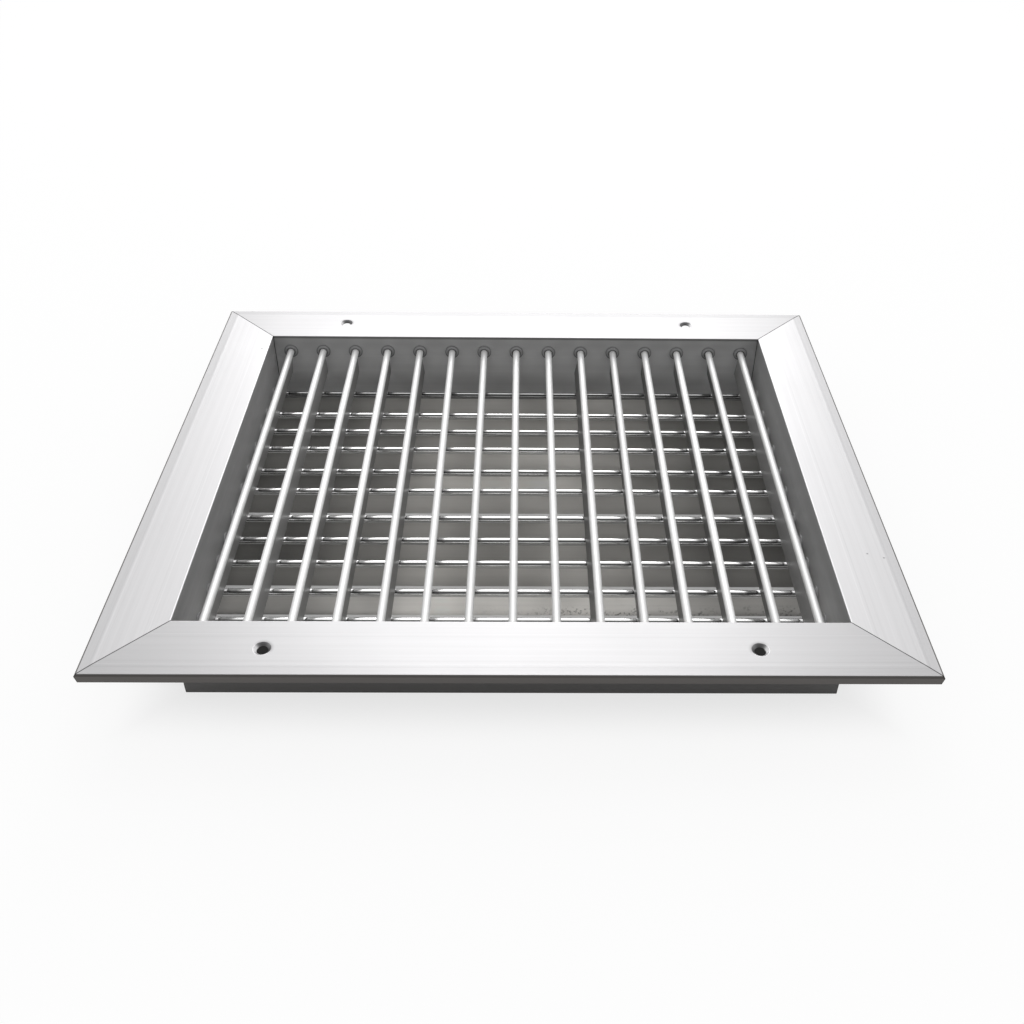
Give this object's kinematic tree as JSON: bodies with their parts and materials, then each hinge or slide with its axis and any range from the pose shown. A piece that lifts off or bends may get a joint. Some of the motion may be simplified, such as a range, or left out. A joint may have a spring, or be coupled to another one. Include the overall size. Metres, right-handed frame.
{
  "type": "double deflection supply grille",
  "caption": "Flat aluminium supply air grille with a mitred flange, a short neck and two crossed rows of blades that swing one by one to aim the air.",
  "frame": {"origin": "middle of the throat, on the plane of the neck's rear edge", "axes": "+Z out of the duct towards the room, +X along the long side and the rear blades, +Y along the front blades"},
  "size_m": [0.3654, 0.3154, 0.045],
  "materials": {
    "frame": "satin anodised",
    "blades": "satin anodised",
    "pivots": "moulded nylon",
    "corner_keys": "zinc plated"
  },
  "bodies": {
    "frame": {"frame_front": "frame", "frame_back": "frame", "frame_left": "frame", "frame_right": "frame", "corner_keys": "corner_keys"},
    "front_blade_01": {"front_blade_01": "blades", "front_pivots_01": "pivots"},
    "front_blade_02": {"front_blade_02": "blades", "front_pivots_02": "pivots"},
    "front_blade_03": {"front_blade_03": "blades", "front_pivots_03": "pivots"},
    "front_blade_04": {"front_blade_04": "blades", "front_pivots_04": "pivots"},
    "front_blade_05": {"front_blade_05": "blades", "front_pivots_05": "pivots"},
    "front_blade_06": {"front_blade_06": "blades", "front_pivots_06": "pivots"},
    "front_blade_07": {"front_blade_07": "blades", "front_pivots_07": "pivots"},
    "front_blade_08": {"front_blade_08": "blades", "front_pivots_08": "pivots"},
    "front_blade_09": {"front_blade_09": "blades", "front_pivots_09": "pivots"},
    "front_blade_10": {"front_blade_10": "blades", "front_pivots_10": "pivots"},
    "front_blade_11": {"front_blade_11": "blades", "front_pivots_11": "pivots"},
    "front_blade_12": {"front_blade_12": "blades", "front_pivots_12": "pivots"},
    "front_blade_13": {"front_blade_13": "blades", "front_pivots_13": "pivots"},
    "front_blade_14": {"front_blade_14": "blades", "front_pivots_14": "pivots"},
    "front_blade_15": {"front_blade_15": "blades", "front_pivots_15": "pivots"},
    "rear_blade_01": {"rear_blade_01": "blades", "rear_pivots_01": "pivots"},
    "rear_blade_02": {"rear_blade_02": "blades", "rear_pivots_02": "pivots"},
    "rear_blade_03": {"rear_blade_03": "blades", "rear_pivots_03": "pivots"},
    "rear_blade_04": {"rear_blade_04": "blades", "rear_pivots_04": "pivots"},
    "rear_blade_05": {"rear_blade_05": "blades", "rear_pivots_05": "pivots"},
    "rear_blade_06": {"rear_blade_06": "blades", "rear_pivots_06": "pivots"},
    "rear_blade_07": {"rear_blade_07": "blades", "rear_pivots_07": "pivots"},
    "rear_blade_08": {"rear_blade_08": "blades", "rear_pivots_08": "pivots"},
    "rear_blade_09": {"rear_blade_09": "blades", "rear_pivots_09": "pivots"},
    "rear_blade_10": {"rear_blade_10": "blades", "rear_pivots_10": "pivots"},
    "rear_blade_11": {"rear_blade_11": "blades", "rear_pivots_11": "pivots"},
    "rear_blade_12": {"rear_blade_12": "blades", "rear_pivots_12": "pivots"}
  },
  "joints": [
    {"name": "front_swing_01", "type": "hinge", "parent": "frame", "child": "front_blade_01", "pos_m": [-0.14, 0, 0.0347], "axis": [0, 1, 0], "range_deg": [-49, 31]},
    {"name": "front_swing_02", "type": "hinge", "parent": "frame", "child": "front_blade_02", "pos_m": [-0.12, 0, 0.0347], "axis": [0, 1, 0], "range_deg": [-41, 49]},
    {"name": "front_swing_03", "type": "hinge", "parent": "frame", "child": "front_blade_03", "pos_m": [-0.1, 0, 0.0347], "axis": [0, 1, 0], "range_deg": [-43, 47]},
    {"name": "front_swing_04", "type": "hinge", "parent": "frame", "child": "front_blade_04", "pos_m": [-0.08, 0, 0.0347], "axis": [0, 1, 0], "range_deg": [-43, 47]},
    {"name": "front_swing_05", "type": "hinge", "parent": "frame", "child": "front_blade_05", "pos_m": [-0.06, 0, 0.0347], "axis": [0, 1, 0], "range_deg": [-38, 52]},
    {"name": "front_swing_06", "type": "hinge", "parent": "frame", "child": "front_blade_06", "pos_m": [-0.04, 0, 0.0347], "axis": [0, 1, 0], "range_deg": [-46, 44]},
    {"name": "front_swing_07", "type": "hinge", "parent": "frame", "child": "front_blade_07", "pos_m": [-0.02, 0, 0.0347], "axis": [0, 1, 0], "range_deg": [-45, 45]},
    {"name": "front_swing_08", "type": "hinge", "parent": "frame", "child": "front_blade_08", "pos_m": [0, 0, 0.0347], "axis": [0, 1, 0], "range_deg": [-45, 45]},
    {"name": "front_swing_09", "type": "hinge", "parent": "frame", "child": "front_blade_09", "pos_m": [0.02, 0, 0.0347], "axis": [0, 1, 0], "range_deg": [-45, 45]},
    {"name": "front_swing_10", "type": "hinge", "parent": "frame", "child": "front_blade_10", "pos_m": [0.04, 0, 0.0347], "axis": [0, 1, 0], "range_deg": [-56, 34]},
    {"name": "front_swing_11", "type": "hinge", "parent": "frame", "child": "front_blade_11", "pos_m": [0.06, 0, 0.0347], "axis": [0, 1, 0], "range_deg": [-47, 43]},
    {"name": "front_swing_12", "type": "hinge", "parent": "frame", "child": "front_blade_12", "pos_m": [0.08, 0, 0.0347], "axis": [0, 1, 0], "range_deg": [-48, 42]},
    {"name": "front_swing_13", "type": "hinge", "parent": "frame", "child": "front_blade_13", "pos_m": [0.1, 0, 0.0347], "axis": [0, 1, 0], "range_deg": [-45, 45]},
    {"name": "front_swing_14", "type": "hinge", "parent": "frame", "child": "front_blade_14", "pos_m": [0.12, 0, 0.0347], "axis": [0, 1, 0], "range_deg": [-40, 50]},
    {"name": "front_swing_15", "type": "hinge", "parent": "frame", "child": "front_blade_15", "pos_m": [0.14, 0, 0.0347], "axis": [0, 1, 0], "range_deg": [-42, 38]},
    {"name": "rear_swing_01", "type": "hinge", "parent": "frame", "child": "rear_blade_01", "pos_m": [0, -0.115, 0.015], "axis": [1, 0, 0], "range_deg": [-35, 45]},
    {"name": "rear_swing_02", "type": "hinge", "parent": "frame", "child": "rear_blade_02", "pos_m": [0, -0.0946, 0.015], "axis": [1, 0, 0], "range_deg": [-45, 45]},
    {"name": "rear_swing_03", "type": "hinge", "parent": "frame", "child": "rear_blade_03", "pos_m": [0, -0.0745, 0.015], "axis": [1, 0, 0], "range_deg": [-45, 45]},
    {"name": "rear_swing_04", "type": "hinge", "parent": "frame", "child": "rear_blade_04", "pos_m": [0, -0.0531, 0.015], "axis": [1, 0, 0], "range_deg": [-45, 45]},
    {"name": "rear_swing_05", "type": "hinge", "parent": "frame", "child": "rear_blade_05", "pos_m": [0, -0.035, 0.015], "axis": [1, 0, 0], "range_deg": [-45, 45]},
    {"name": "rear_swing_06", "type": "hinge", "parent": "frame", "child": "rear_blade_06", "pos_m": [0, -0.0168, 0.015], "axis": [1, 0, 0], "range_deg": [-45, 45]},
    {"name": "rear_swing_07", "type": "hinge", "parent": "frame", "child": "rear_blade_07", "pos_m": [0, 0.0069, 0.015], "axis": [1, 0, 0], "range_deg": [-45, 45]},
    {"name": "rear_swing_08", "type": "hinge", "parent": "frame", "child": "rear_blade_08", "pos_m": [0, 0.0248, 0.015], "axis": [1, 0, 0], "range_deg": [-45, 45]},
    {"name": "rear_swing_09", "type": "hinge", "parent": "frame", "child": "rear_blade_09", "pos_m": [0, 0.0463, 0.015], "axis": [1, 0, 0], "range_deg": [-45, 45]},
    {"name": "rear_swing_10", "type": "hinge", "parent": "frame", "child": "rear_blade_10", "pos_m": [0, 0.0644, 0.015], "axis": [1, 0, 0], "range_deg": [-45, 45]},
    {"name": "rear_swing_11", "type": "hinge", "parent": "frame", "child": "rear_blade_11", "pos_m": [0, 0.0821, 0.015], "axis": [1, 0, 0], "range_deg": [-45, 45]},
    {"name": "rear_swing_12", "type": "hinge", "parent": "frame", "child": "rear_blade_12", "pos_m": [0, 0.1053, 0.015], "axis": [1, 0, 0], "range_deg": [-45, 45]}
  ]
}
